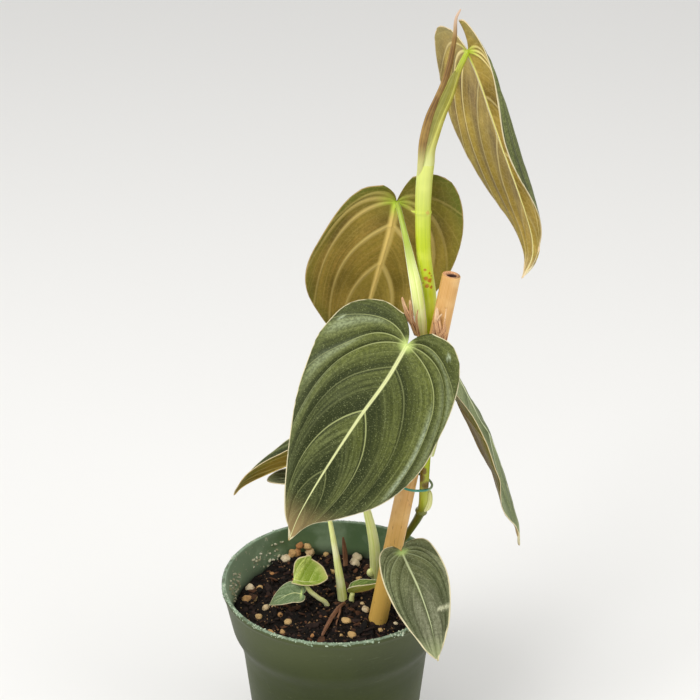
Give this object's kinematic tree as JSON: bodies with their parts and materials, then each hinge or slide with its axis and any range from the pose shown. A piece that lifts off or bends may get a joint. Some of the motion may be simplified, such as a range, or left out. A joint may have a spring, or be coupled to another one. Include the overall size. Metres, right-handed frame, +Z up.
{
  "type": "potted philodendron",
  "caption": "Young climbing philodendron with velvety heart-shaped leaves, tied to a bamboo stake in a round plastic nursery pot of bark and perlite mix.",
  "frame": {"origin": "centre of the underside of the pot", "axes": "+Z up along the pot's axis, -Y towards the front leaf, +X to the viewer's right"},
  "size_m": [0.1415, 0.1153, 0.3605],
  "materials": {
    "green_plastic": "satin",
    "soil_mix": "matte",
    "bamboo": "satin",
    "tie_wire": "gloss",
    "stem_green": "satin",
    "stalk_green": "satin",
    "leaf_sheath": "satin",
    "dry_brown": "matte",
    "velvet_leaf": "matte",
    "young_leaf": "satin"
  },
  "bodies": {
    "root": {"pot": "green_plastic", "potting_soil": "soil_mix", "bamboo_stake": "bamboo", "plant_tie": "tie_wire", "main_stem": "stem_green", "new_leaf_sheath": "leaf_sheath", "dry_sheath_left": "dry_brown", "dry_sheath_right": "dry_brown", "dry_root": "dry_brown", "dry_stub": "dry_brown", "seedling_stem": "stalk_green", "seedling_cup_blade": "young_leaf", "seedling_side_blade": "young_leaf", "top_petiole": "stalk_green", "top_blade": "velvet_leaf", "back_petiole": "stalk_green", "back_blade": "velvet_leaf", "front_petiole": "stalk_green", "front_blade": "velvet_leaf", "right_petiole": "stalk_green", "right_blade": "velvet_leaf", "left_petiole": "stalk_green", "left_blade": "velvet_leaf", "small_left_petiole": "stalk_green", "small_left_blade": "velvet_leaf", "low_petiole": "stalk_green", "low_blade": "velvet_leaf", "sprout_petiole": "stalk_green", "sprout_blade": "young_leaf"}
  },
  "joints": []
}
